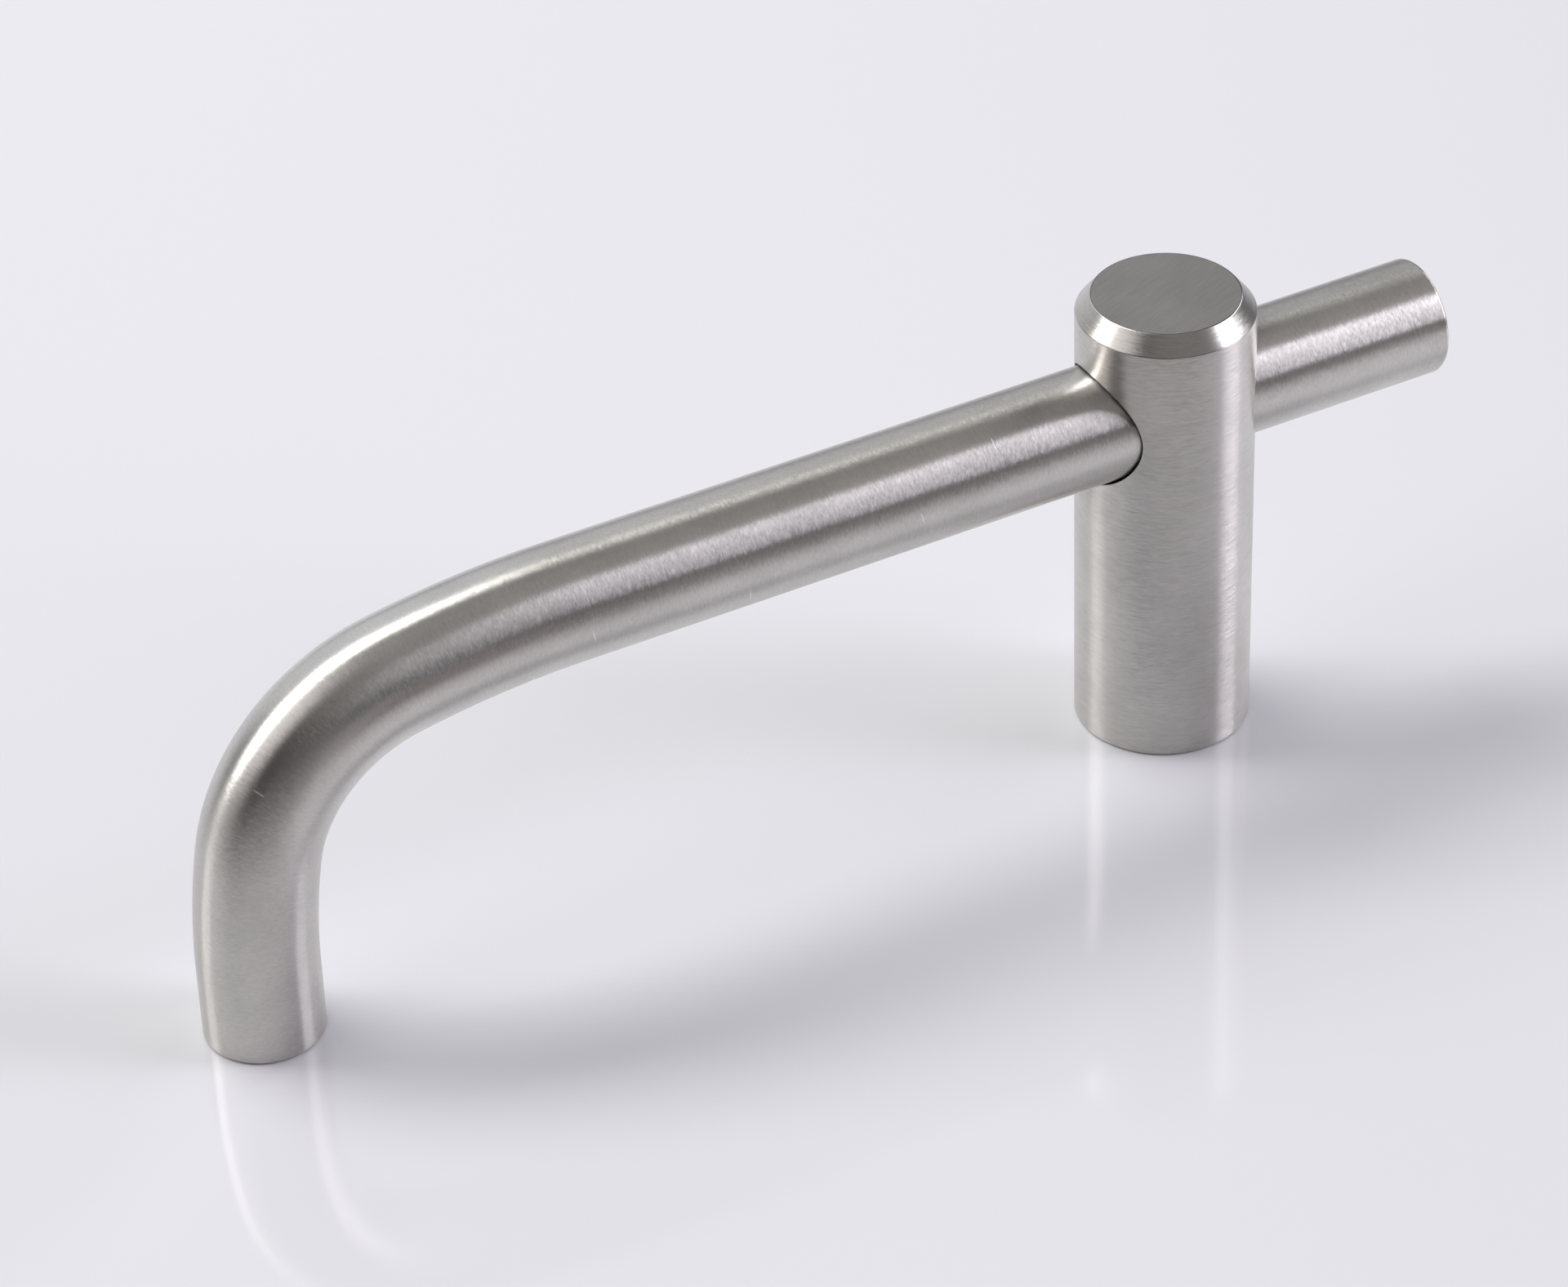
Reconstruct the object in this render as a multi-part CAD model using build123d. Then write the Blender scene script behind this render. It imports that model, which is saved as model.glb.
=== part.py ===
from build123d import *
import math
import os

# Cabinet pull: a round bar bent down to a foot at one end and carried through a turned post near the other.
# The origin lies midway between the two fixing holes, on the face that the pull is screwed to.
# +X runs along the bar from the foot to the post, and +Z points away from that face. Sizes are in millimetres.

# Layout
HOLE_SPACING = 101.6
BAR_AXIS_HEIGHT = 37.5
BAR_OVERHANG = 30.0  # from the post's axis to the bar's far end

# Bar
BAR_DIAMETER = 12.0
LEG_STRAIGHT = 7.5  # the leg is straight this far up from the foot
LEAN_ANGLE = 10.0  # degrees that the leg leans over in a wide arc before the bend
BEND_RADIUS = 19.0  # of the bar's axis
SETTLE_RADIUS = 95.0  # the wide arc between the bend and the straight bar
SETTLE_ANGLE = 11.0
BAR_END_ROUNDING = 0.4
FOOT_CHAMFER = 0.25

# Post
BORE_CLEARANCE = 0.25  # all round the bar in the cross-bore
POST_WALL = 2.75  # beside the cross-bore
POST_CAP = 6.25  # above the cross-bore
TOP_CHAMFER_WIDTH = 1.5
TOP_CHAMFER_DROP = 1.85
POST_BASE_CHAMFER = 0.2

# Fixing holes, tapped M4: their plain walls have the tapping drill's diameter
FIXING_HOLE_DIAMETER = 3.3
FOOT_HOLE_DEPTH = 12.0
HOLE_COUNTERSINK = 0.4
DRILL_POINT_ANGLE = 118.0

# Set screw, M3 with a cone point, and the smaller tapped hole that it sits in
SCREW_HOLE_DIAMETER = 2.5
SCREW_CLEARANCE = 0.05
SCREW_LENGTH = 6.0
SCREW_TIP_DIAMETER = 0.4
SCREW_CHAMFER = 0.2
SOCKET_ACROSS_FLATS = 1.5
SOCKET_DEPTH = 2.0
SEAT_DEPTH = 0.8  # of the 90 degree conical seat under the bar
SEAT_CLEARANCE = 0.07  # between the screw's point and its seat, along the screw
SCREW_STOP_GAP = 2.0  # from the end of the post's fixing hole to the screw

# Derived sizes
FOOT_X = -HOLE_SPACING / 2
POST_X = HOLE_SPACING / 2
BAR_END_X = POST_X + BAR_OVERHANG
BAR_RADIUS = BAR_DIAMETER / 2
BORE_RADIUS = BAR_RADIUS + BORE_CLEARANCE
POST_RADIUS = BORE_RADIUS + POST_WALL
POST_HEIGHT = BAR_AXIS_HEIGHT + BORE_RADIUS + POST_CAP
SCREW_RADIUS = SCREW_HOLE_DIAMETER / 2 - SCREW_CLEARANCE
SCREW_TIP_RADIUS = SCREW_TIP_DIAMETER / 2
SEAT_APEX_Z = BAR_AXIS_HEIGHT - BAR_RADIUS + SEAT_DEPTH
SCREW_TIP_Z = SEAT_APEX_Z - SEAT_CLEARANCE - SCREW_TIP_RADIUS
SCREW_BASE_Z = SCREW_TIP_Z - SCREW_LENGTH
POST_HOLE_DEPTH = SCREW_BASE_Z - SCREW_STOP_GAP


def drill_point_height(radius):
    """Height of the cone that a drill leaves at a blind hole's end."""
    return radius / math.tan(math.radians(DRILL_POINT_ANGLE / 2))


def tapped_hole(radius, depth):
    """A blind hole going up from the mounting face, with a countersunk mouth and a drill point."""
    with BuildPart() as hole:
        with BuildSketch(Plane.XZ):
            with BuildLine():
                Polyline(
                    (0, 0),
                    (radius + HOLE_COUNTERSINK, 0),
                    (radius, HOLE_COUNTERSINK),
                    (radius, depth),
                    (0, depth + drill_point_height(radius)),
                    close=True,
                )
            make_face()
        revolve(axis=Axis.Z)
    return hole.part


def bar_path():
    """The bar's axis: a short straight leg, a leaning arc, the bend, a settling arc and the straight bar."""
    bend_end_angle = 90 - SETTLE_ANGLE
    lean, bent = math.radians(LEAN_ANGLE), math.radians(bend_end_angle)
    bend_rise = BEND_RADIUS * (math.sin(bent) - math.sin(lean))
    settle_rise = SETTLE_RADIUS * (1 - math.sin(bent))
    lean_rise = BAR_AXIS_HEIGHT - LEG_STRAIGHT - bend_rise - settle_rise
    lean_radius = lean_rise / math.sin(lean)
    with BuildLine() as path:
        leg = Line((FOOT_X, 0, 0), (FOOT_X, 0, LEG_STRAIGHT))
        leaning = tangent_arc(leg @ 1, 0, LEAN_ANGLE, lean_radius)
        bend = tangent_arc(leaning @ 1, LEAN_ANGLE, bend_end_angle, BEND_RADIUS)
        settling = tangent_arc(bend @ 1, bend_end_angle, 90, SETTLE_RADIUS)
        Line(settling @ 1, (BAR_END_X, 0, BAR_AXIS_HEIGHT))
    return path.line


def tangent_arc(start, from_angle, to_angle, radius):
    """An arc that turns from one heading to another. Headings are degrees from straight up, towards +X."""

    def offset(heading):
        turned = math.radians(heading)
        return Vector(-radius * math.cos(turned), 0, radius * math.sin(turned))

    centre = start - offset(from_angle)
    middle = centre + offset((from_angle + to_angle) / 2)
    return ThreePointArc(start, middle, centre + offset(to_angle))


def screw_seat():
    """The cone drilled in the bar's underside for the screw's point, running out below the bar."""
    below = BAR_RADIUS / 2
    height = SEAT_DEPTH + below
    place = Location((POST_X, 0, SEAT_APEX_Z - height / 2))
    return place * Cone(bottom_radius=height, top_radius=0, height=height)


def make_bent_bar():
    """The bar swept along its path, with its foot's chamfer, its rounded far end, fixing hole and seat."""
    section = Plane((FOOT_X, 0, 0)) * Circle(BAR_RADIUS)
    bar = sweep(section, path=bar_path())
    foot_edge = bar.edges().filter_by(GeomType.CIRCLE).group_by(Axis.Z)[0]
    bar = chamfer(foot_edge, FOOT_CHAMFER)
    end_edge = bar.edges().filter_by(GeomType.CIRCLE).group_by(Axis.X)[-1]
    bar = fillet(end_edge, BAR_END_ROUNDING)
    fixing_hole = Location((FOOT_X, 0, 0)) * tapped_hole(FIXING_HOLE_DIAMETER / 2, FOOT_HOLE_DEPTH)
    return bar - fixing_hole - screw_seat()


def post_blank():
    """The turned outside of the post."""
    with BuildPart() as blank:
        with BuildSketch(Plane.XZ):
            with BuildLine():
                Polyline(
                    (0, 0),
                    (POST_RADIUS - POST_BASE_CHAMFER, 0),
                    (POST_RADIUS, POST_BASE_CHAMFER),
                    (POST_RADIUS, POST_HEIGHT - TOP_CHAMFER_DROP),
                    (POST_RADIUS - TOP_CHAMFER_WIDTH, POST_HEIGHT),
                    (0, POST_HEIGHT),
                    close=True,
                )
            make_face()
        revolve(axis=Axis.Z)
    return blank.part


def make_post():
    """The post with its cross-bore, its fixing hole and the set screw's hole between them."""
    bore_axis = Location((0, 0, BAR_AXIS_HEIGHT), (0, 90, 0))
    cross_bore = bore_axis * Cylinder(BORE_RADIUS, 4 * POST_RADIUS)
    screw_hole = Cylinder(
        SCREW_HOLE_DIAMETER / 2,
        BAR_AXIS_HEIGHT - POST_HOLE_DEPTH,
        align=(Align.CENTER, Align.CENTER, Align.MIN),
    )
    screw_hole = Location((0, 0, POST_HOLE_DEPTH)) * screw_hole
    fixing_hole = tapped_hole(FIXING_HOLE_DIAMETER / 2, POST_HOLE_DEPTH)
    post = post_blank() - cross_bore - fixing_hole - screw_hole
    return Location((POST_X, 0, 0)) * post


def screw_blank():
    """The turned outside of the set screw: a chamfered socket end, a plain body and a cone point."""
    cone_height = SCREW_RADIUS - SCREW_TIP_RADIUS
    with BuildPart() as blank:
        with BuildSketch(Plane.XZ):
            with BuildLine():
                Polyline(
                    (0, 0),
                    (SCREW_RADIUS - SCREW_CHAMFER, 0),
                    (SCREW_RADIUS, SCREW_CHAMFER),
                    (SCREW_RADIUS, SCREW_LENGTH - cone_height),
                    (SCREW_TIP_RADIUS, SCREW_LENGTH),
                    (0, SCREW_LENGTH),
                    close=True,
                )
            make_face()
        revolve(axis=Axis.Z)
    return blank.part


def make_set_screw():
    """The set screw in its place under the bar, with its hex socket facing down."""
    hexagon = RegularPolygon(SOCKET_ACROSS_FLATS / 2, 6, major_radius=False)
    socket = extrude(hexagon, SOCKET_DEPTH)
    point_height = drill_point_height(SOCKET_ACROSS_FLATS / 2)
    socket_point = Location((0, 0, SOCKET_DEPTH + point_height / 2)) * Cone(
        bottom_radius=SOCKET_ACROSS_FLATS / 2, top_radius=0, height=point_height
    )
    return Location((POST_X, 0, SCREW_BASE_Z)) * (screw_blank() - socket - socket_point)


os.makedirs("parts", exist_ok=True)
export_step(make_bent_bar(), "parts/bent_bar.step")
export_step(make_post(), "parts/post.step")
export_step(make_set_screw(), "parts/set_screw.step")
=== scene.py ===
"""A brushed stainless steel cabinet pull: a bent round bar held in a turned post by a set screw.

Each CAD piece is replaced by a finer mesh of the same size, with its broken edges and its threads.
Sizes are in millimetres and repeat the CAD model's. The floor, the lights and the camera are in metres.
Angles are in radians unless a name says otherwise.
"""

import math

import bmesh
import bpy
import numpy as np
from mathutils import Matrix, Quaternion, Vector


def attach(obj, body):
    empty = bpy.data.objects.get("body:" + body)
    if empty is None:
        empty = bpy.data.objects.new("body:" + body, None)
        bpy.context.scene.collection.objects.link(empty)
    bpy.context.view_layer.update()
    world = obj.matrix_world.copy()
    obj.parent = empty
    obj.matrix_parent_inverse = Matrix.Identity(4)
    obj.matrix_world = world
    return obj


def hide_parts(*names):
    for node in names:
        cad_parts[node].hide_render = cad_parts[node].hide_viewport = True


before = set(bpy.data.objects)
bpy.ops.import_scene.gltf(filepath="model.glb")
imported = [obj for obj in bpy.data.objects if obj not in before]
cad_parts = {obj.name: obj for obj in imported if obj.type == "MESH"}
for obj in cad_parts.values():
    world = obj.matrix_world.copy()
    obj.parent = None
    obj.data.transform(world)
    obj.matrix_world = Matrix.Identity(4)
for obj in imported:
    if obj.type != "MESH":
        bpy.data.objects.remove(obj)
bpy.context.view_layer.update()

MM = 0.001

# Layout
FOOT_X = -50.8
POST_X = 50.8
BAR_END_X = 80.8
BAR_AXIS_HEIGHT = 37.5

# Bar
BAR_RADIUS = 6.0
LEG_STRAIGHT = 7.5
LEAN_ANGLE = math.radians(10)
BEND_RADIUS = 19.0
SETTLE_RADIUS = 95.0
SETTLE_ANGLE = math.radians(11)
BAR_END_ROUNDING = 0.4
FOOT_CHAMFER = 0.25

# Post
POST_RADIUS = 9.0
POST_HEIGHT = 50.0
BORE_RADIUS = 6.25
BORE_EDGE_BREAK = 0.14
TOP_CHAMFER_WIDTH = 1.5
TOP_CHAMFER_DROP = 1.85
POST_BASE_CHAMFER = 0.2
TOP_GRAIN_ANGLE = math.radians(20)

# Holes, with their threads' pitch and depth beyond the drilled wall
FIXING_HOLE_RADIUS = 1.65
FIXING_THREAD = (0.7, 0.33)
HOLE_COUNTERSINK = 0.4
FOOT_HOLE_DEPTH = 12.0
FOOT_TAPPED_DEPTH = 11.0
POST_HOLE_DEPTH = 24.03
POST_TAPPED_DEPTH = 12.0
SCREW_HOLE_RADIUS = 1.25
SCREW_THREAD = (0.5, 0.22)
DRILL_POINT_SLOPE = 1 / math.tan(math.radians(59))

# Set screw
SCREW_RADIUS = 1.2
SCREW_TIP_RADIUS = 0.2
SCREW_BASE_Z = 26.03
SCREW_LENGTH = 6.0
SCREW_CHAMFER = 0.2
SOCKET_ACROSS_FLATS = 1.5
SOCKET_DEPTH = 2.0
SEAT_APEX_Z = 32.3

# Threads' form, as shares of the pitch
THREAD_CREST = 0.25
THREAD_ROOT = 0.1

# Strips of wall that end the post's base and top, and how far its and the foot's corners are eased
BASE_STRIP = 0.5
TOP_STRIP = 0.3
CORNER_EASE = 0.08
CHAMFER_EASE = 0.09

# Fineness of the meshes: points round each shape, and to each side of the patch round a hole in it
BAR_SIDES = 128
SEAT_PATCH_SIDE = 8
POST_SIDES = 120
BORE_SIDES = 2 * POST_SIDES
SCREW_PATCH_SIDE = POST_SIDES // 4
SCREW_PATCH_HALF = 2.5
ROWS_TO_A_PITCH = 7
JOIN_DISTANCE = 0.0005

# Which of its piece's finishes a grid takes, where it isn't the first
BAR_FACE, BAR_HOLE = 1, 2
POST_CHAMFER, POST_TOP, POST_HOLE = 1, 2, 3

# Stage and camera, in metres and degrees. The camera was fitted to the outlines of the pull.
FLOOR_REACH = 3.0
FLOOR_GAP = 0.00005
# Where the floor seen only in the metal fades to painted shade before the pull
FAR_DISTANCE = 0.24
FAR_AZIMUTH_DEG = -25
LIGHT_DISTANCE = 3.0
LIGHTS_AIM = (0, 0, 0.03)
CAMERA_AIM = (0.0071699, 0, 0.023872)
CAMERA_PLACE_DEG = (-27.5329, 35.7812)
CAMERA_DISTANCE = 0.5613709
CAMERA_ROLL_DEG = -2.0755
LENS_MM = 131.652
SENSOR_WIDTH_MM = 36


# Meshes from grids of points


class Skin:
    """Gathers grids of points, in millimetres, into one mesh. Points that coincide are joined."""

    def __init__(self):
        self.points = []
        self.uvs = []
        self.quads = []
        self.finishes = []
        self.count = 0

    def add(self, x, y, z, u, v, finish=0):
        """Adds a grid. Its u runs across the grain and its v along it, in turns where the grain is round."""
        grid = np.stack(np.broadcast_arrays(x, y, z, u, v), axis=-1)
        rows, columns = grid.shape[:2]
        index = self.count + np.arange(rows * columns).reshape(rows, columns)
        quads = np.stack([index[:-1, :-1], index[:-1, 1:], index[1:, 1:], index[1:, :-1]], axis=-1)
        self.points.append(grid[..., :3].reshape(-1, 3))
        self.uvs.append(grid[..., 3:].reshape(-1, 2))
        self.quads.append(quads.reshape(-1, 4))
        self.finishes.append(np.full(len(self.quads[-1]), finish))
        self.count += rows * columns

    def build(self, name, materials):
        """Makes the object, with one material for each finish number."""
        quads = np.concatenate(self.quads)
        uvs = np.concatenate(self.uvs)[quads.ravel()]
        mesh = bpy.data.meshes.new(name)
        mesh.from_pydata((np.concatenate(self.points) * MM).tolist(), [], quads.tolist())
        mesh.uv_layers.new(name="UVMap").data.foreach_set("uv", uvs.ravel())
        mesh.polygons.foreach_set("material_index", np.concatenate(self.finishes))
        join_seams(mesh)
        mesh.shade_smooth()
        for material in materials:
            mesh.materials.append(material)
        piece = bpy.data.objects.new(name, mesh)
        bpy.context.scene.collection.objects.link(piece)
        piece.modifiers.new("Wide faces stay flat", "WEIGHTED_NORMAL").weight = 100
        return piece


def join_seams(mesh):
    """Joins the grids where they touch and turns every face outwards."""
    work = bmesh.new()
    work.from_mesh(mesh)
    bmesh.ops.remove_doubles(work, verts=work.verts, dist=JOIN_DISTANCE * MM)
    bmesh.ops.recalc_face_normals(work, faces=work.faces)
    work.to_mesh(mesh)
    work.free()


def softened(corners, ease, steps=4):
    """A polyline through the corners, with each corner between its ends rounded over the length ease."""
    corners = [np.array(corner, float) for corner in corners]
    line = [corners[0]]
    for before, corner, after in zip(corners, corners[1:], corners[2:]):
        start = corner + ease * (before - corner) / np.linalg.norm(before - corner)
        end = corner + ease * (after - corner) / np.linalg.norm(after - corner)
        for t in np.linspace(0, 1, steps + 1):
            line.append((1 - t) ** 2 * start + 2 * t * (1 - t) * corner + t**2 * end)
    line.append(corners[-1])
    return np.array(line)


def around(sides):
    """Angles right round, from -45 degrees, so that a rectangle's corners meet a hole's outline there."""
    return np.linspace(-math.pi / 4, 7 * math.pi / 4, sides + 1)


def running_length(*coordinates):
    """Distance along a line of points, as a column."""
    steps = np.linalg.norm(np.diff(np.stack(coordinates), axis=1), axis=0)
    return np.concatenate([[0], np.cumsum(steps)])[:, None]


def turn(skin, centre_x, radius, height, sides, finish=0):
    """Skins a shape round a vertical axis. Radius and height each have a row for each ring."""
    angle = around(sides)
    radius, height = np.broadcast_arrays(radius, height, angle)[:2]
    u = running_length(radius[:, 0], height[:, 0])
    skin.add(centre_x + radius * np.cos(angle), radius * np.sin(angle), height, u, angle / math.tau, finish)


def lathe(skin, centre_x, profile, sides, finish=0):
    """Turns a profile of (radius, z) points round a vertical axis."""
    radius, height = np.array(profile, float).T[..., None]
    turn(skin, centre_x, radius, height, sides, finish)


def thread_groove(height, angle, thread, start, end):
    """How far a thread's groove goes beyond the drilled wall. It fades out over one pitch at each end."""
    pitch, depth = thread
    phase = (height / pitch - angle / math.tau) % 1
    groove = np.clip((1 - THREAD_CREST - abs(2 * phase - 1)) / (1 - THREAD_CREST - THREAD_ROOT), 0, 1)
    fade = np.clip((height - start) / pitch, 0, 1) * np.clip((end - height) / pitch, 0, 1)
    return depth * groove * fade


def thread_rows(length, thread):
    """Shares of a threaded length, from 0 to 1 as a column, close enough together to show its thread."""
    return np.linspace(0, 1, round(length / thread[0] * ROWS_TO_A_PITCH))[:, None]


def rectangle_border(half_width, low, high, side):
    """Points (across, up) round a rectangle, from its top left corner by its right and back to it."""
    t = np.linspace(0, 1, side, endpoint=False)
    across = half_width * np.concatenate([2 * t - 1, 1 + 0 * t, 1 - 2 * t, -1 + 0 * t, [-1]])
    up = low + (high - low) * np.concatenate([1 + 0 * t, 1 - t, 0 * t, t, [1]])
    return across, up


def hole_patch(outline, border, rows=20):
    """Rows of points (across, up) from a hole's outline out to its border, closest together at the hole."""
    share = np.linspace(0, 1, rows)[:, None] ** 1.5
    return [inner * (1 - share) + outer * share for inner, outer in zip(outline, border)]


# The bent bar and the cross-bore that it goes through


def bar_stations():
    """Rows of (distance along the bar's axis, x, z, heading), from the leg's top to the straight bar.

    The heading is from straight up, towards the post.
    """
    bent = math.pi / 2 - SETTLE_ANGLE
    bend_rise = BEND_RADIUS * (math.sin(bent) - math.sin(LEAN_ANGLE))
    settle_rise = SETTLE_RADIUS * (1 - math.sin(bent))
    lean_rise = BAR_AXIS_HEIGHT - LEG_STRAIGHT - bend_rise - settle_rise
    arcs = [
        (0, LEAN_ANGLE, lean_rise / math.sin(LEAN_ANGLE), 20),
        (LEAN_ANGLE, bent, BEND_RADIUS, 80),
        (bent, math.pi / 2, SETTLE_RADIUS, 28),
    ]
    stations = [(LEG_STRAIGHT, FOOT_X, LEG_STRAIGHT, 0)]
    for first, last, radius, steps in arcs:
        s, x, z, _ = stations[-1]
        for heading in np.linspace(first, last, steps + 1)[1:]:
            run = radius * (heading - first)
            east = radius * (math.cos(first) - math.cos(heading))
            north = radius * (math.sin(heading) - math.sin(first))
            stations.append((s + run, x + east, z + north, heading))
    return stations


def bar_rings(skin, stations, radii, finish=0):
    """Skins the bar through rings of these radii. Angles are from the bend's outside, the bar's top."""
    angle = around(BAR_SIDES)
    s, x, z, heading = np.array(stations, float).T[..., None]
    radius = np.broadcast_to(np.array(radii, float).reshape(-1, 1), s.shape)
    u = s + np.concatenate([[[0]], np.cumsum(abs(np.diff(radius, axis=0)), axis=0)])
    out = radius * np.cos(angle)
    x = x - out * np.cos(heading)
    skin.add(x, radius * np.sin(angle), z + out * np.sin(heading), u, angle / math.tau, finish)


def level_tube(skin, radius, x, sides, skip=0, finish=0):
    """Part of the straight bar or the cross-bore, with skip sides left out along its underside."""
    step = math.tau / sides
    reach = math.pi - skip * step / 2
    angle = np.linspace(-reach, reach, sides - skip + 1)
    z = BAR_AXIS_HEIGHT + radius * np.cos(angle)
    skin.add(x, radius * np.sin(angle), z, x, angle / math.tau, finish)


def holed_tube(skin, radius, half_length, hole, sides, side, finish=0):
    """A length of the bar or the bore inside the post, with a hole (x, y) in the middle of its underside."""
    x = POST_X + np.linspace(-half_length, half_length, side + 1)[:, None]
    level_tube(skin, radius, x, sides, side, finish)
    outline = (radius * np.arcsin(hole[1] / radius), hole[0])
    border = rectangle_border(math.pi * radius * side / sides, -half_length, half_length, side)
    across, along = hole_patch(outline, border, 8)
    angle = math.pi - across / radius
    z = BAR_AXIS_HEIGHT + radius * np.cos(angle)
    skin.add(POST_X + along, radius * np.sin(angle), z, POST_X + along, angle / math.tau, finish)


def underside(radius, y):
    """The height of a level tube's underside at this y."""
    return BAR_AXIS_HEIGHT - np.sqrt(radius**2 - y**2)


def seat_outline():
    """Where the seat's 90 degree cone meets the bar's underside, as (x, y) from the post's axis."""
    angle = around(4 * SEAT_PATCH_SIDE)
    reach = 0 * angle
    for _ in range(8):
        reach = SEAT_APEX_Z - underside(BAR_RADIUS, reach * np.sin(angle))
    return reach * np.cos(angle), reach * np.sin(angle)


def make_bar(materials):
    """The bent bar: its foot with the tapped hole, its skin, the seat for the set screw and its far end."""
    skin = Skin()
    mouth = FIXING_HOLE_RADIUS + HOLE_COUNTERSINK
    face = [(FIXING_HOLE_RADIUS, HOLE_COUNTERSINK), (mouth, 0), (BAR_RADIUS - FOOT_CHAMFER, 0)]
    edge = softened([face[-1], (BAR_RADIUS, FOOT_CHAMFER), (BAR_RADIUS, 1)], CORNER_EASE)
    tapped_hole(skin, FOOT_X, FOOT_HOLE_DEPTH, FOOT_TAPPED_DEPTH, BAR_SIDES, BAR_HOLE)
    drill_point(skin, FOOT_X, FOOT_HOLE_DEPTH, 0, BAR_SIDES, BAR_HOLE)
    lathe(skin, FOOT_X, face, BAR_SIDES, BAR_FACE)

    stations = bar_stations()
    foot_stations = [(z, FOOT_X, z, 0) for z in edge[:, 1]]
    bar_rings(skin, foot_stations + stations, [*edge[:, 0], *[BAR_RADIUS] * len(stations)])

    s, straight_x = stations[-1][:2]
    seat_half = 2.0
    level_tube(skin, BAR_RADIUS, np.linspace(straight_x, POST_X - seat_half, 12)[:, None], BAR_SIDES)
    seat = seat_outline()
    holed_tube(skin, BAR_RADIUS, seat_half, seat, BAR_SIDES, SEAT_PATCH_SIDE)
    rim = np.stack([POST_X + seat[0], seat[1], underside(BAR_RADIUS, seat[1])])
    apex = np.array([[POST_X], [0], [SEAT_APEX_Z]]) + 0 * rim
    x, y, z = np.stack([rim, apex], axis=1)
    skin.add(x, y, z, z, x, BAR_FACE)

    corner = np.linspace(0, math.pi / 2, 8)
    end_x = BAR_END_X - BAR_END_ROUNDING * (1 - np.sin(corner))
    end_radius = BAR_RADIUS - BAR_END_ROUNDING * (1 - np.cos(corner))
    level_tube(skin, BAR_RADIUS, np.linspace(POST_X + seat_half, end_x[0], 5)[:, None], BAR_SIDES)
    rounding = [(x, x, BAR_AXIS_HEIGHT, math.pi / 2) for x in end_x]
    bar_rings(skin, rounding, end_radius)
    bar_rings(skin, [rounding[-1]] * 8, np.linspace(end_radius[-1], 0, 8), BAR_FACE)
    return skin.build("bar", materials)


# The post


def tapped_hole(skin, centre_x, depth, tapped_depth, sides, finish):
    """A fixing hole's wall above its countersink: tapped to one depth and then plain."""
    share = thread_rows(tapped_depth - HOLE_COUNTERSINK, FIXING_THREAD)
    height = HOLE_COUNTERSINK + share * (tapped_depth - HOLE_COUNTERSINK)
    height = np.concatenate([height, [[depth]]])
    groove = thread_groove(height, around(sides), FIXING_THREAD, HOLE_COUNTERSINK, tapped_depth)
    turn(skin, centre_x, FIXING_HOLE_RADIUS + groove, height, sides, finish)


def drill_point(skin, centre_x, depth, inner_radius, sides, finish):
    """The cone at a fixing hole's end, down to this radius."""
    top = depth + (FIXING_HOLE_RADIUS - inner_radius) * DRILL_POINT_SLOPE
    lathe(skin, centre_x, [(FIXING_HOLE_RADIUS, depth), (inner_radius, top)], sides, finish)


def bore_mouth(radius, angle):
    """Points (arc from the bore's direction, z, x from the post's axis) on the wall round the bore."""
    y = radius * np.sin(angle)
    arc = POST_RADIUS * np.arcsin(y / POST_RADIUS)
    return arc, BAR_AXIS_HEIGHT + radius * np.cos(angle), np.sqrt(POST_RADIUS**2 - y**2)


def make_post_half(skin, side, low, high):
    """The wall round one mouth of the cross-bore, its broken edge, and the bore up to the screw's hole."""
    angle = around(BORE_SIDES)
    outline = bore_mouth(BORE_RADIUS + BORE_EDGE_BREAK, angle)
    border = rectangle_border(math.pi / 2 * POST_RADIUS, low, high, BORE_SIDES // 4)
    arc, z = hole_patch(outline[:2], border, 28)
    turned = arc / POST_RADIUS
    v = turned / math.tau if side > 0 else 0.5 - turned / math.tau
    skin.add(POST_X + side * POST_RADIUS * np.cos(turned), POST_RADIUS * np.sin(turned), z, z, v)

    corner_x = bore_mouth(BORE_RADIUS, angle)[2]
    corner = [corner_x, BORE_RADIUS * np.sin(angle), BAR_AXIS_HEIGHT + BORE_RADIUS * np.cos(angle)]
    wall = [outline[2], (BORE_RADIUS + BORE_EDGE_BREAK) * np.sin(angle), outline[1]]
    inside = [corner_x - BORE_EDGE_BREAK, corner[1], corner[2]]
    t = np.linspace(0, 1, 6)[:, None]
    x, y, z = [(1 - t) ** 2 * a + 2 * t * (1 - t) * b + t**2 * c for a, b, c in zip(wall, corner, inside)]
    skin.add(POST_X + side * x, y, z, t * BORE_EDGE_BREAK, angle / math.tau, POST_HOLE)

    x = inside[0] * (1 - t) + SCREW_PATCH_HALF * t
    skin.add(POST_X + side * x, inside[1], inside[2], x, angle / math.tau, POST_HOLE)


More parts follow.
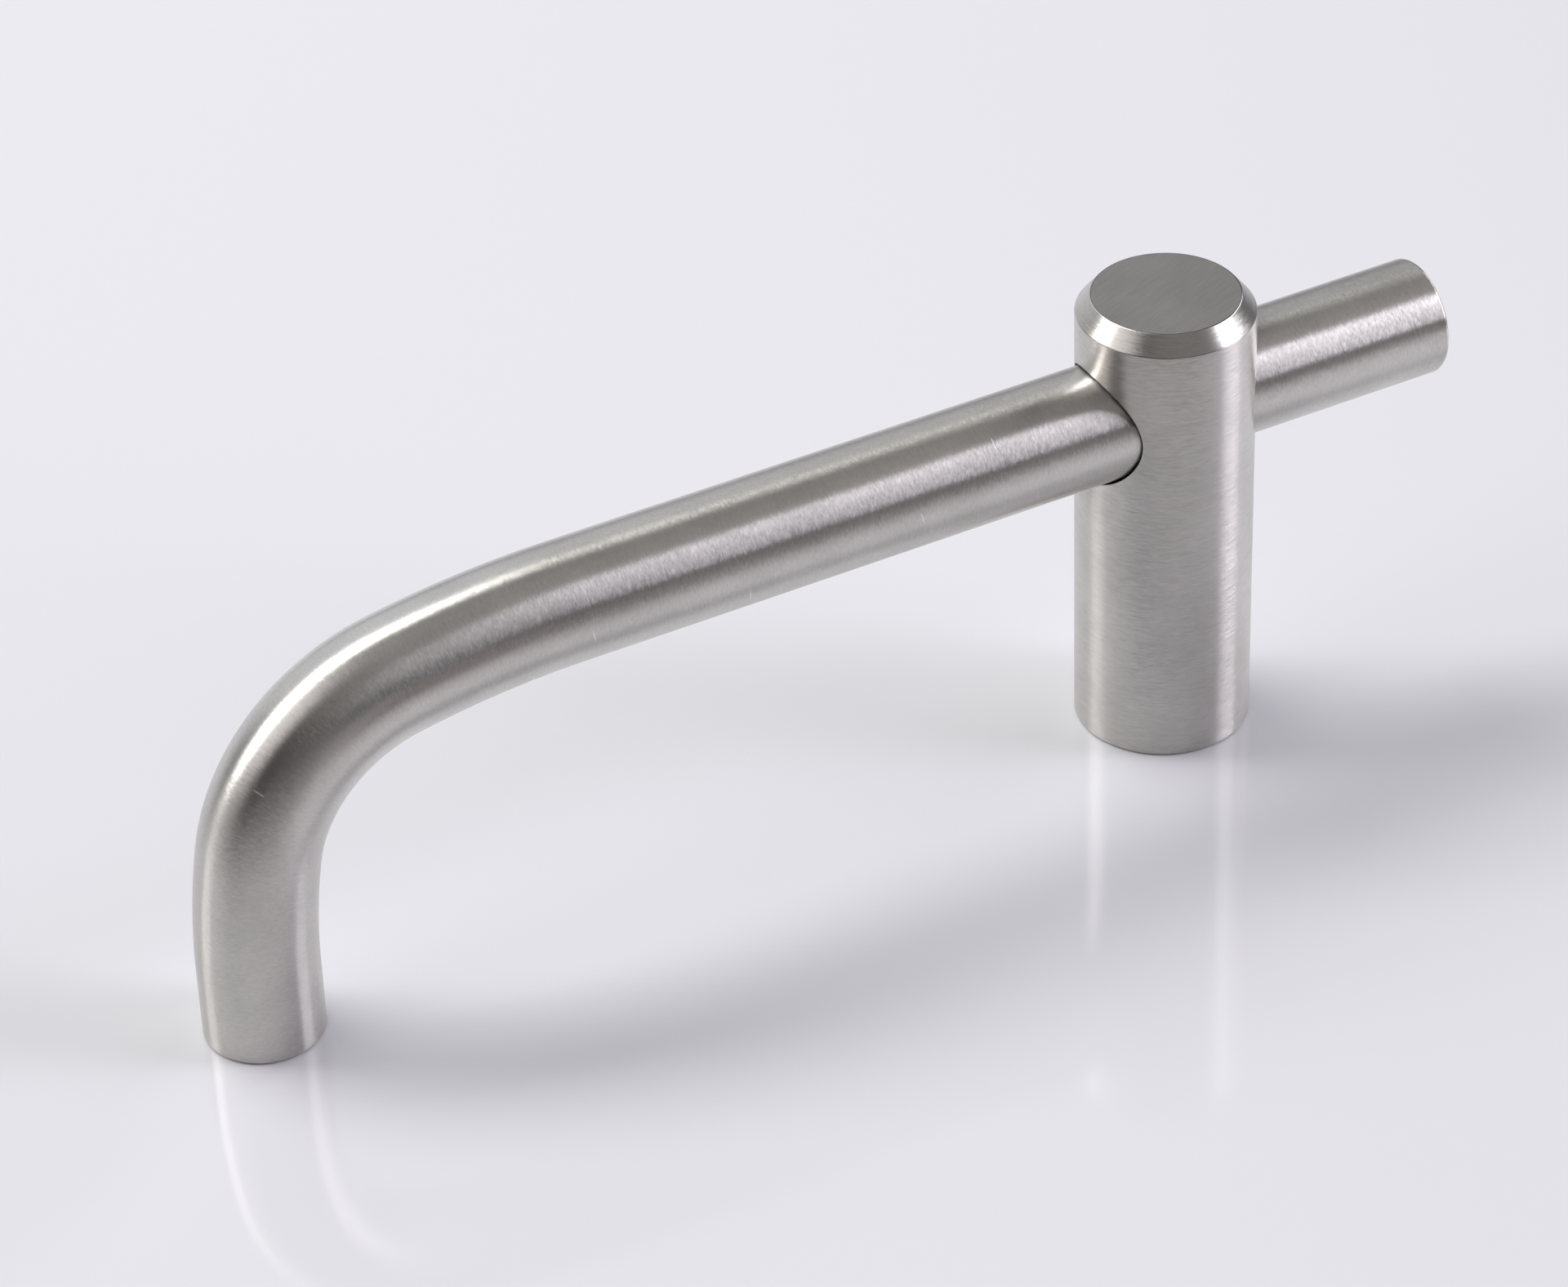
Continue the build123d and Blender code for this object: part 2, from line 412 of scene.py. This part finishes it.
def make_post(materials):
    """The post: base, wall with both mouths of the cross-bore, chamfered top, and the holes from below."""
    skin = Skin()
    mouth = FIXING_HOLE_RADIUS + HOLE_COUNTERSINK
    face = [(FIXING_HOLE_RADIUS, HOLE_COUNTERSINK), (mouth, 0), (POST_RADIUS - POST_BASE_CHAMFER, 0)]
    base = softened([face[-1], (POST_RADIUS, POST_BASE_CHAMFER), (POST_RADIUS, BASE_STRIP)], CORNER_EASE)
    lathe(skin, POST_X, face, POST_SIDES, POST_HOLE)
    lathe(skin, POST_X, base, POST_SIDES)

    shoulder = POST_HEIGHT - TOP_CHAMFER_DROP
    top_radius = POST_RADIUS - TOP_CHAMFER_WIDTH
    corners = [(POST_RADIUS, shoulder - TOP_STRIP), (POST_RADIUS, shoulder), (top_radius, POST_HEIGHT)]
    top = softened([*corners, (top_radius - TOP_STRIP, POST_HEIGHT)], CHAMFER_EASE)
    for side in (-1, 1):
        make_post_half(skin, side, BASE_STRIP, shoulder - TOP_STRIP)
    lathe(skin, POST_X, top[:4], POST_SIDES)
    lathe(skin, POST_X, top[3:-2], POST_SIDES, POST_CHAMFER)
    flat_top(skin, [*top[-2:, 0], *np.linspace(top_radius - 1, 0, 6)])

    hole = around(4 * SCREW_PATCH_SIDE)
    outline = (SCREW_HOLE_RADIUS * np.cos(hole), SCREW_HOLE_RADIUS * np.sin(hole))
    holed_tube(skin, BORE_RADIUS, SCREW_PATCH_HALF, outline, BORE_SIDES, SCREW_PATCH_SIDE, POST_HOLE)
    tapped_hole(skin, POST_X, POST_HOLE_DEPTH, POST_TAPPED_DEPTH, POST_SIDES, POST_HOLE)
    drill_point(skin, POST_X, POST_HOLE_DEPTH, SCREW_HOLE_RADIUS, POST_SIDES, POST_HOLE)
    start = POST_HOLE_DEPTH + (FIXING_HOLE_RADIUS - SCREW_HOLE_RADIUS) * DRILL_POINT_SLOPE
    end = underside(BORE_RADIUS, outline[1])
    height = start + thread_rows(end.max() - start, SCREW_THREAD) * (end - start)
    groove = thread_groove(height, hole, SCREW_THREAD, start, end)
    turn(skin, POST_X, SCREW_HOLE_RADIUS + groove, height, POST_SIDES, POST_HOLE)
    return skin.build("post_body", materials)


def flat_top(skin, radii):
    """The post's flat top, with straight grain: its u and v are its own plane's, turned to the grain."""
    angle = around(POST_SIDES)
    radius = np.array(radii)[:, None]
    x, y = radius * np.cos(angle), radius * np.sin(angle)
    cos, sin = math.cos(TOP_GRAIN_ANGLE), math.sin(TOP_GRAIN_ANGLE)
    skin.add(POST_X + x, y, POST_HEIGHT, sin * x - cos * y, cos * x + sin * y, POST_TOP)


# The set screw


def make_screw(material):
    """The set screw: cone point up, thread, and a hex socket in its lower end."""
    skin = Skin()
    angle = around(POST_SIDES)
    half_flats = SOCKET_ACROSS_FLATS / 2
    hexagon = half_flats / np.cos((angle + math.pi / 6) % (math.pi / 3) - math.pi / 6)
    base, top = SCREW_BASE_Z, SCREW_BASE_Z + SCREW_LENGTH
    socket_top = base + SOCKET_DEPTH
    point_top = socket_top + half_flats * DRILL_POINT_SLOPE
    rim = SCREW_RADIUS - SCREW_CHAMFER
    radius = np.stack([0 * angle, half_flats + 0 * angle, hexagon, hexagon, rim + 0 * angle])
    height = np.array([point_top, socket_top, socket_top, base, base])[:, None]
    turn(skin, POST_X, radius, height, POST_SIDES)

    body_start, body_end = base + SCREW_CHAMFER, top - (SCREW_RADIUS - SCREW_TIP_RADIUS)
    lathe(skin, POST_X, [(rim, base), (SCREW_RADIUS, body_start)], POST_SIDES)
    height = body_start + thread_rows(body_end - body_start, SCREW_THREAD) * (body_end - body_start)
    groove = thread_groove(height, angle, SCREW_THREAD, body_start, body_end)
    turn(skin, POST_X, SCREW_RADIUS + groove, height, POST_SIDES)
    lathe(skin, POST_X, [(SCREW_RADIUS, body_end), (SCREW_TIP_RADIUS, top), (0, top)], POST_SIDES)
    return skin.build("screw", [material])


# Materials

STEEL = (0.60, 0.58, 0.555)
# The chamfer's steel is the bar's steel made darker: painted shade that dims the chamfer
CHAMFER_STEEL_WITH_PAINTED_SHADE = (0.53, 0.512, 0.49)
TOP_STEEL = (0.5, 0.475, 0.455)
INSIDE = (0.5, 0.485, 0.47)
SCREW_STEEL = (0.42, 0.41, 0.4)
PALE = (0.78, 0.783, 0.822, 1)
# Painted shade: the dark far colour of the floor that only the metal sees, so the floor mirrored before the
# pull is darker
FAR_PAINTED_SHADE = (0.28, 0.25, 0.235, 1)
# Nicks are real scratches; their near-white colour is a painted glint
NICK_PAINTED_GLINT = (0.9, 0.89, 0.88, 1)
WARM_GLOW = (1, 0.97, 0.965, 1)
COOL_GLOW = (0.93, 0.955, 1, 1)

NOISE_GAIN = 8  # about the inverse of how far the noise goes from zero
PATCHES = (0.15, 7)  # lines to the millimetre and streak in millimetres of the broad patches
SHADE_SWING = 0.14  # how far the grain lightens and darkens the steel
NICK_CELL = 9.0
NICK_ROUGHENING = 0.2


class Nodes:
    """Builds the nodes of a new material or world. Inputs are set or linked by name or number."""

    def __init__(self, owner):
        owner.use_nodes = True
        self.owner = owner
        self.tree = owner.node_tree
        self.tree.nodes.clear()

    def node(self, kind, inputs=None, **settings):
        """A node of this type, with its settings made and its inputs set to values or linked to sockets."""
        made = self.tree.nodes.new("ShaderNode" + kind)
        for key, value in settings.items():
            setattr(made, key, value)
        for key, value in (inputs or {}).items():
            if isinstance(value, bpy.types.NodeSocket):
                self.tree.links.new(value, made.inputs[key])
            else:
                made.inputs[key].default_value = value
        return made

    def math(self, operation, first, second=0.0):
        """The result of one Math node."""
        return self.node("Math", {0: first, 1: second}, operation=operation).outputs[0]

    def remap(self, value, low, high, to_low, to_high, smooth=False):
        """A value taken from one range to another, and kept in it."""
        kind = "SMOOTHSTEP" if smooth else "LINEAR"
        inputs = {"Value": value, "From Min": low, "From Max": high, "To Min": to_low, "To Max": to_high}
        return self.node("MapRange", inputs, interpolation_type=kind).outputs["Result"]

    def vector(self, operation, first, second=(0, 0, 0)):
        """The result of one Vector Math node. A scale takes its factor as the second value."""
        inputs = {0: first, "Scale" if operation == "SCALE" else 1: second}
        return self.node("VectorMath", inputs, operation=operation).outputs[0]

    def dot(self, first, second):
        """The dot product of two vectors."""
        return self.node("VectorMath", {0: first, 1: second}, operation="DOT_PRODUCT").outputs["Value"]

    def noise(self, vector):
        """Three channels of noise about zero, at scale 1, so that the vector alone sets its size."""
        inputs = {"Vector": vector, "Scale": 1.0, "Detail": 1.0, "Roughness": 0.6}
        colour = self.node("TexNoise", inputs).outputs["Color"]
        return self.vector("SUBTRACT", colour, (0.5, 0.5, 0.5))

    def mix(self, factor, first, second):
        """One colour laid over another."""
        made = self.node("Mix", data_type="RGBA")
        for socket, value in zip((made.inputs[0], made.inputs[6], made.inputs[7]), (factor, first, second)):
            if isinstance(value, bpy.types.NodeSocket):
                self.tree.links.new(value, socket)
            else:
                socket.default_value = value
        return made.outputs[2]


def grain_vector(nodes, u, v, lines_per_mm, streak, radius):
    """Noise coordinates for grain: fine across it and streak millimetres long, round a radius or flat."""
    across = nodes.math("MULTIPLY", u, lines_per_mm)
    if radius is None:
        return nodes.node("CombineXYZ", {0: across, 1: nodes.math("MULTIPLY", v, 1 / streak)}).outputs[0]
    angle = nodes.math("MULTIPLY", v, math.tau)
    size = radius / streak
    y = nodes.math("MULTIPLY", nodes.math("COSINE", angle), size)
    z = nodes.math("MULTIPLY", nodes.math("SINE", angle), size)
    return nodes.node("CombineXYZ", {0: across, 1: y, 2: z}).outputs[0]


def steel(name, colour, roughness, anisotropy, grain, radius=None, tilt=(0.05, 0.02), wander=0.4, nicks=0.0):
    """Brushed steel with a grain in layers of (lines to the millimetre, streak in millimetres, weight).

    The tilt is how far the grain turns the surface, across its lines and along them. The lines wander
    sideways by about this many millimetres. Nicks is the share of cells that have one.
    """
    nodes = Nodes(bpy.data.materials.new(name))
    uv = nodes.node("UVMap", uv_map="UVMap").outputs["UV"]
    u, v = nodes.node("SeparateXYZ", {0: uv}).outputs[:2]
    patches = nodes.noise(grain_vector(nodes, u, v, *PATCHES, radius))
    patch, drift, _ = nodes.node("SeparateXYZ", {0: patches}).outputs
    u = nodes.math("ADD", u, nodes.math("MULTIPLY", drift, wander))
    total = (0, 0, 0)
    for lines_per_mm, streak, weight in grain:
        layer = nodes.noise(grain_vector(nodes, u, v, lines_per_mm, streak, radius))
        total = nodes.vector("ADD", total, nodes.vector("SCALE", layer, weight))
    across, along, fine = nodes.node("SeparateXYZ", {0: total}).outputs

    normal = nodes.node("NewGeometry").outputs["Normal"]
    tangent = nodes.node("Tangent", direction_type="UV_MAP", uv_map="UVMap").outputs[0]
    with_grain = nodes.vector("CROSS_PRODUCT", normal, tangent)
    lean_across = nodes.vector("SCALE", tangent, nodes.math("MULTIPLY", across, NOISE_GAIN * tilt[0]))
    lean_along = nodes.vector("SCALE", with_grain, nodes.math("MULTIPLY", along, NOISE_GAIN * tilt[1]))
    lean = nodes.vector("ADD", lean_across, lean_along)
    shade = nodes.math("ADD", nodes.math("MULTIPLY", fine, 0.8), nodes.math("MULTIPLY", patch, 0.4))
    darkest, lightest = scaled(colour, 1 - SHADE_SWING), scaled(colour, 1 + SHADE_SWING)
    base = nodes.mix(nodes.remap(shade, -0.25, 0.25, 0, 1), darkest, lightest)
    if nicks:
        nick = nick_mask(nodes, u, nodes.math("MULTIPLY", v, math.tau * radius), nicks)
        # A nick is a real, rougher scratch; its near-white colour is a painted glint.
        base = nodes.mix(nick, base, NICK_PAINTED_GLINT)
        roughness = nodes.remap(nick, 0, 1, roughness, roughness + NICK_ROUGHENING)
    inputs = {
        "Base Color": base,
        "Metallic": 1.0,
        "Roughness": roughness,
        "Anisotropic": anisotropy,
        "Normal": nodes.vector("NORMALIZE", nodes.vector("ADD", normal, lean)),
        "Tangent": tangent,
    }
    surface = nodes.node("BsdfPrincipled", inputs)
    nodes.node("OutputMaterial", {"Surface": surface.outputs[0]})
    return nodes.owner


def scaled(colour, factor):
    """A colour made lighter or darker, as a socket's value."""
    return tuple(min(1, channel * factor) for channel in colour) + (1,)


def nick_mask(nodes, u, v, share):
    """Where the surface has a nick, from 0 to 1: short dashes along the grain, one to a cell at most."""
    flat = nodes.node("CombineXYZ", {0: u, 1: v}).outputs[0]
    place = nodes.vector("SCALE", flat, 1 / NICK_CELL)
    cells = nodes.node("TexVoronoi", {"Vector": place, "Scale": 1.0}, voronoi_dimensions="2D")
    offset = nodes.vector("SUBTRACT", place, cells.outputs["Position"])
    away = nodes.node("SeparateXYZ", {0: nodes.vector("SCALE", offset, NICK_CELL)}).outputs
    chance, slant, _ = nodes.node("SeparateXYZ", {0: cells.outputs["Color"]}).outputs
    slope = nodes.remap(slant, 0, 1, -0.25, 0.25)
    sheared = nodes.math("ADD", away[0], nodes.math("MULTIPLY", away[1], slope))
    thin = nodes.remap(nodes.math("ABSOLUTE", sheared), 0.03, 0.08, 1, 0)
    short = nodes.remap(nodes.math("ABSOLUTE", away[1]), 0.3, 0.9, 1, 0)
    here = nodes.math("LESS_THAN", chance, share)
    return nodes.math("MULTIPLY", nodes.math("MULTIPLY", thin, short), here)


def glossy_sheet(name, far_colour):
    """Glossy pale sheet that the pull stands on. Before the pull it turns to its far colour, which is
    painted shade where that colour is dark.
    """
    nodes = Nodes(bpy.data.materials.new(name))
    before = nodes.dot(nodes.node("TexCoord").outputs["Object"], direction(FAR_AZIMUTH_DEG, 0))
    far = nodes.remap(before, 0, FAR_DISTANCE, 0, 1, smooth=True)
    inputs = {
        "Base Color": nodes.mix(far, PALE, far_colour),
        "Roughness": 0.09,
        "IOR": 1.45,
    }
    surface = nodes.node("BsdfPrincipled", inputs)
    nodes.node("OutputMaterial", {"Surface": surface.outputs[0]})
    return nodes.owner


# Stage, lights and camera


def direction(azimuth_deg, elevation_deg):
    """The way from the pull to a place round it: azimuth 0 is towards -Y and 90 towards +X."""
    azimuth, elevation = math.radians(azimuth_deg), math.radians(elevation_deg)
    level = math.cos(elevation)
    return Vector((math.sin(azimuth) * level, -math.cos(azimuth) * level, math.sin(elevation)))


def add_floor(name, height, material, seen):
    """A level sheet under the pull, not part of it. Only the camera sees it, or all but the camera."""
    mesh = bpy.data.meshes.new(name)
    corners = [(x * FLOOR_REACH, y * FLOOR_REACH, height) for x, y in ((-1, -1), (1, -1), (1, 1), (-1, 1))]
    mesh.from_pydata(corners, [], [(0, 1, 2, 3)])
    mesh.materials.append(material)
    floor = bpy.data.objects.new(name, mesh)
    bpy.context.scene.collection.objects.link(floor)
    floor.visible_camera = seen
    floor.visible_shadow = not seen
    floor.visible_diffuse = not seen
    floor.visible_glossy = not seen
    floor.visible_transmission = not seen
    return floor


def add_softbox(name, seen_floor, place, roll_deg, width_deg, height_deg, radiance, colour):
    """A rectangular area light far from the pull and facing it. Its place and size are as angles.

    It is two lights in one place: one for all but the seen floor, and one for that floor, which doesn't
    mirror it and so stays plain.
    """
    light = bpy.data.lights.new(name, "AREA")
    light.shape = "RECTANGLE"
    light.size = 2 * LIGHT_DISTANCE * math.tan(math.radians(width_deg / 2))
    light.size_y = 2 * LIGHT_DISTANCE * math.tan(math.radians(height_deg / 2))
    light.energy = math.pi * light.size * light.size_y * radiance
    light.color = colour
    towards = direction(*place)
    roll = Quaternion(towards, math.radians(roll_deg))
    for lamp_name, link, mirrored in ((name, "EXCLUDE", True), (name + "_on_floor", "INCLUDE", False)):
        lamp = bpy.data.objects.new(lamp_name, light)
        lamp.location = Vector(LIGHTS_AIM) + towards * LIGHT_DISTANCE
        lamp.rotation_mode = "QUATERNION"
        lamp.rotation_quaternion = roll @ (-towards).to_track_quat("-Z", "Y")
        lamp.visible_glossy = mirrored
        bpy.context.scene.collection.objects.link(lamp)
        linked = bpy.data.collections.new(lamp_name)
        linked.objects.link(seen_floor)
        linked.collection_objects[0].light_linking.link_state = link
        lamp.light_linking.receiver_collection = linked


def add_world(glows, room):
    """A dark studio with a dim room before the pull, of this radiance, and three soft glows.

    A glow is (radiance, place, degrees from its middle to its edge, degrees to the rim of its full core).
    The second glow is a wall, which is cooler than the rest.
    """
    nodes = Nodes(bpy.data.worlds.new("studio"))
    way = nodes.node("TexCoord").outputs["Generated"]
    radiances, places, edges_deg, cores_deg = zip(*glows)
    nearness = {n: nodes.dot(way, direction(*place)) for n, place in enumerate(places)}
    inputs = {
        "Vector": nodes.node("CombineXYZ", nearness).outputs[0],
        "From Min": [math.cos(math.radians(edge)) for edge in edges_deg],
        "From Max": [math.cos(math.radians(core)) for core in cores_deg],
    }
    lobes = nodes.node("MapRange", inputs, data_type="FLOAT_VECTOR", interpolation_type="SMOOTHSTEP")
    light = nodes.dot(lobes.outputs["Vector"], radiances)
    wall = nodes.node("SeparateXYZ", {0: lobes.outputs["Vector"]}).outputs[1]
    before = nodes.remap(nodes.dot(way, (0, -1, 0)), 0.2, 0.7, 0, room)
    low = nodes.remap(nodes.dot(way, (0, 0, 1)), 0.06, 0.26, 1, 0)
    light = nodes.math("ADD", light, nodes.math("MULTIPLY", before, low))
    colour = nodes.mix(wall, WARM_GLOW, COOL_GLOW)
    background = nodes.node("Background", {"Color": colour, "Strength": light})
    nodes.node("OutputWorld", {"Surface": background.outputs[0]})
    bpy.context.scene.world = nodes.owner


def add_camera():
    """The photograph's viewing angle."""
    view = bpy.data.cameras.new("camera")
    view.sensor_width = SENSOR_WIDTH_MM
    view.lens = LENS_MM
    view.clip_start, view.clip_end = 0.01, 20
    back = direction(*CAMERA_PLACE_DEG)
    camera = bpy.data.objects.new("camera", view)
    camera.location = Vector(CAMERA_AIM) + back * CAMERA_DISTANCE
    camera.rotation_mode = "QUATERNION"
    roll = Quaternion((0, 0, 1), math.radians(CAMERA_ROLL_DEG))
    camera.rotation_quaternion = (-back).to_track_quat("-Z", "Y") @ roll
    bpy.context.scene.collection.objects.link(camera)
    bpy.context.scene.camera = camera


# The pull, made and named


def steel_finishes():
    """The bar's finishes, the post's and the set screw's, in the order of each piece's finish numbers."""
    bar = [
        steel(
            "brushed_steel",
            STEEL,
            roughness=0.31,
            anisotropy=0.85,
            grain=[(10, 0.5, 0.65), (5, 1.2, 0.35)],
            radius=BAR_RADIUS,
            tilt=(0.04, 0.009),
            wander=0.3,
            nicks=0.3,
        ),
        steel(
            "faced_ends",
            STEEL,
            roughness=0.3,
            anisotropy=0.7,
            grain=[(5, 8, 0.7), (1.5, 9, 0.3)],
            radius=3.0,
            tilt=(0.04, 0.01),
        ),
        steel(
            "tapped_hole",
            INSIDE,
            roughness=0.35,
            anisotropy=0.3,
            grain=[(5, 4, 1.0)],
            radius=1.8,
            tilt=(0.03, 0.01),
        ),
    ]
    post = [
        steel(
            "satin_post",
            STEEL,
            roughness=0.37,
            anisotropy=0.825,
            grain=[(9, 1.0, 0.6), (4, 2.5, 0.4)],
            radius=POST_RADIUS,
            tilt=(0.08, 0.009),
            wander=0.7,
        ),
        # The turned chamfer's darker colour is painted shade; its grain and roughness are the real turned
        # finish.
        steel(
            "turned_chamfer_with_painted_shade",
            CHAMFER_STEEL_WITH_PAINTED_SHADE,
            roughness=0.28,
            anisotropy=0.4,
            grain=[(7, 0.4, 0.4), (8, 2, 0.6)],
            radius=8.2,
            tilt=(0.03, 0.01),
        ),
        steel(
            "linished_top",
            TOP_STEEL,
            roughness=0.38,
            anisotropy=0.8,
            grain=[(8, 3, 0.7), (3, 9, 0.3)],
            tilt=(0.025, 0.005),
        ),
        steel(
            "bored_holes",
            INSIDE,
            roughness=0.33,
            anisotropy=0.5,
            grain=[(5, 8, 1.0)],
            radius=5.0,
            tilt=(0.03, 0.01),
        ),
    ]
    screw = steel(
        "dark_steel",
        SCREW_STEEL,
        roughness=0.32,
        anisotropy=0.3,
        grain=[(4, 3, 1.0)],
        radius=SCREW_RADIUS,
        tilt=(0.03, 0.01),
    )
    return bar, post, screw


bar_finishes, post_finishes, screw_finish = steel_finishes()
bar = make_bar(bar_finishes)
post = make_post(post_finishes)
screw = make_screw(screw_finish)
for piece, node, slot in (
    (bar, "bent_bar", "brushed_bar"),
    (post, "post", "turned_post"),
    (screw, "set_screw", "screw_steel"),
):
    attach(piece, "root")
    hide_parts(node)

floor = add_floor("floor", 0, glossy_sheet("pale_floor", PALE), True)
# The floor seen only in the metal fades before the pull to painted shade
add_floor("floor_in_metal", -FLOOR_GAP, glossy_sheet("floor_with_painted_shade", FAR_PAINTED_SHADE), False)
for name, place, roll_deg, width_deg, height_deg, radiance, colour in (
    ("key", (-138.8, 46.8), 39.0, 16.6, 61.5, 6.45, (1, 0.995, 0.965)),
    ("fill", (58.9, 24.6), -22.5, 21.3, 37.6, 6.1, (0.93, 0.9, 1)),
    ("strip", (98, 26.4), 0, 42, 15, 3.8, (0.97, 0.97, 1)),
):
    add_softbox(name, floor, place, roll_deg, width_deg, height_deg, radiance, colour)
add_world(
    [
        (1.2, (-108, 39), 34, 8),  # spill beside the key
        (0.9, (-176.5, 28), 42, 17),  # pale wall behind
        (0.3, (0, 65), 52, 25),  # ceiling
    ],
    0.25,
)
add_camera()
bpy.context.scene.view_settings.view_transform = "Standard"
